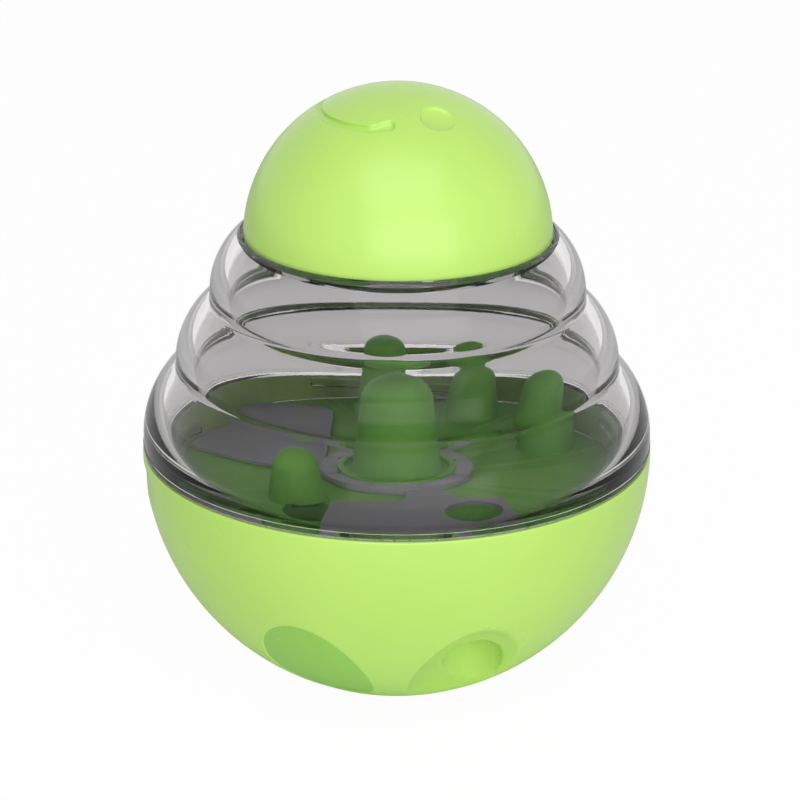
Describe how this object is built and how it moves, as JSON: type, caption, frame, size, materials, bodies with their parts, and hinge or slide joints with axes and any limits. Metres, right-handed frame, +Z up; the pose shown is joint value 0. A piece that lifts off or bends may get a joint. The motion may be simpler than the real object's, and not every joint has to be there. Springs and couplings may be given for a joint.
{
  "type": "treat ball",
  "caption": "Tumbler treat ball: weighted bowl with outlets in oval dishes, clear bulged screw-on shell over a tray with a dial, and a domed screw head.",
  "frame": {"origin": "centre of the small flat foot under the base, on the floor", "axes": "+Z up along the ball's axis; the two outlets face -Y, the drawn smile is on the -X side of the head and the eyes on the +X side"},
  "size_m": [0.115, 0.115, 0.1403],
  "materials": {
    "green_abs": "glossy light green moulded plastic",
    "deep_green_abs": "satin deeper green moulded plastic",
    "grey_abs": "satin mid grey moulded plastic",
    "clear_pc": "clear, faintly smoky moulded plastic, polished",
    "seal_rubber": "dark soft seal rubber",
    "cast_weight": "cast iron, plain",
    "screw_steel": "bright zinc-plated steel"
  },
  "bodies": {
    "base": {"base_shell": "green_abs", "left_chute": "deep_green_abs", "right_chute": "deep_green_abs", "weight_pad": "seal_rubber", "counterweight": "cast_weight", "weight_cover": "grey_abs", "weight_screws": "screw_steel", "maze_tray": "deep_green_abs"},
    "plug": {"outlet_plug": "deep_green_abs", "plug_ring": "seal_rubber"},
    "dial": {"dial_plate": "grey_abs", "dial_knob": "deep_green_abs", "click_spring": "screw_steel", "dial_washer": "screw_steel", "dial_screw": "screw_steel"},
    "rim_seal": {"rim_seal": "seal_rubber"},
    "clear_shell": {"clear_shell": "clear_pc"},
    "neck_seal": {"neck_seal": "seal_rubber"},
    "head": {"head_cap": "green_abs", "head_collar": "green_abs", "head_liner": "grey_abs"}
  },
  "joints": [
    {"name": "shell_lift", "type": "slide", "parent": "base", "child": "rim_seal", "axis": [0, 0, 1], "range_m": [0, 0.008]},
    {"name": "shell_turn", "type": "hinge", "parent": "rim_seal", "child": "clear_shell", "pos_m": [0, 0, 0.05679], "axis": [0, 0, 1], "range_deg": [0, 120]},
    {"name": "head_lift", "type": "slide", "parent": "clear_shell", "child": "neck_seal", "axis": [0, 0, 1], "range_m": [0, 0.00825]},
    {"name": "head_turn", "type": "hinge", "parent": "neck_seal", "child": "head", "pos_m": [0, 0, 0.10549], "axis": [0, 0, 1], "range_deg": [0, 165]},
    {"name": "dial_turn", "type": "hinge", "parent": "base", "child": "dial", "pos_m": [0, 0, 0.04879], "axis": [0, 0, 1], "range_deg": [0, 25]},
    {"name": "plug_pull", "type": "slide", "parent": "base", "child": "plug", "axis": [0, 0, -1], "range_m": [0, 0.012]}
  ],
  "couplings": [
    {"joint": "shell_lift", "follows": "shell_turn", "m_per_rad": 0.0038197},
    {"joint": "head_lift", "follows": "head_turn", "m_per_rad": 0.0028648}
  ]
}
